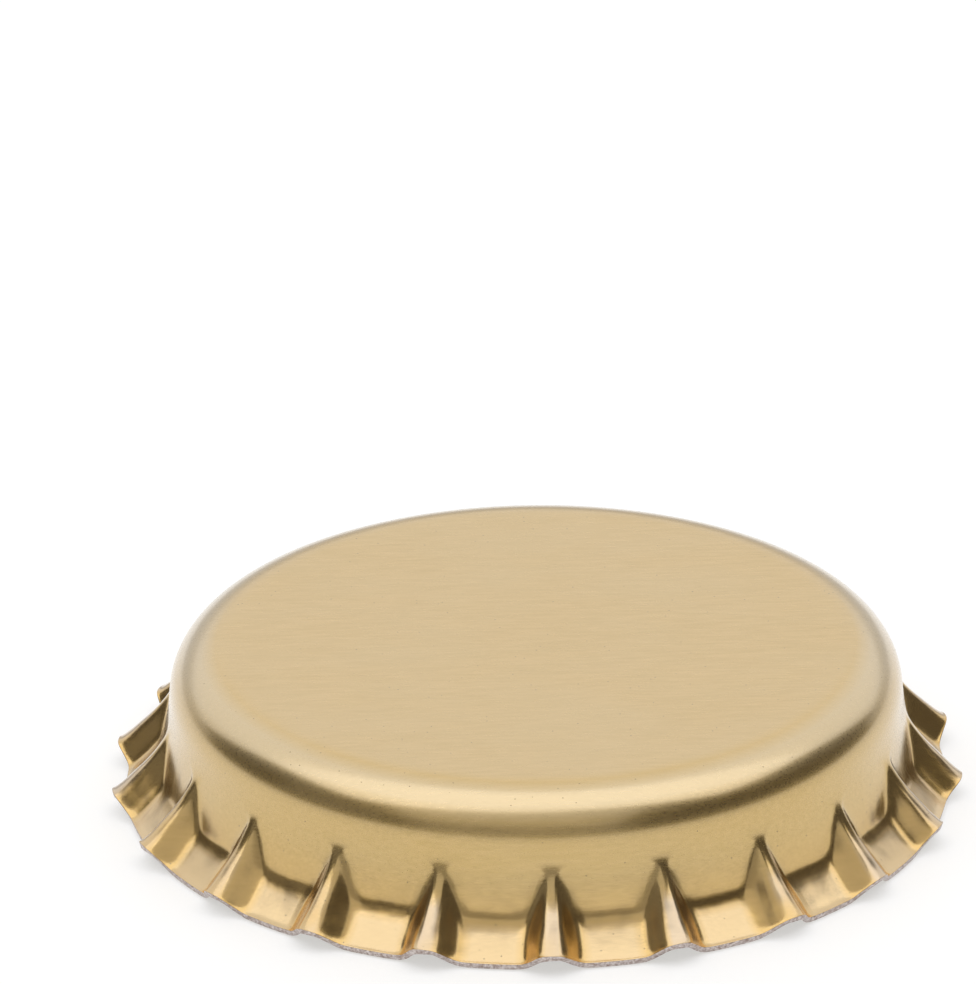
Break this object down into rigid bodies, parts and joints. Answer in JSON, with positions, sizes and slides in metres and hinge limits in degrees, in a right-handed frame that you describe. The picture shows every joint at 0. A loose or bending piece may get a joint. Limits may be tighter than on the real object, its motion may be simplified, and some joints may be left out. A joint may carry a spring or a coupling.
{
  "type": "bottle cap",
  "caption": "Crown bottle cap, panel upwards: a pressed sheet-metal shell with a fluted, flared skirt, and a soft moulded liner that seals on the bottle's mouth.",
  "frame": {"origin": "on the cap's axis, in the plane that the lips between the flutes stand on", "axes": "+Z along the cap's axis, from the open mouth to the panel; one flute points along -Y"},
  "size_m": [0.032, 0.0319, 0.0061],
  "materials": {
    "gold_tinplate": "satin gold lacquer over fine-grained tinplate",
    "liner_plastic": "soft matte moulded plastic"
  },
  "bodies": {
    "root": {"crown_shell": "gold_tinplate", "sealing_liner": "liner_plastic"}
  },
  "joints": []
}
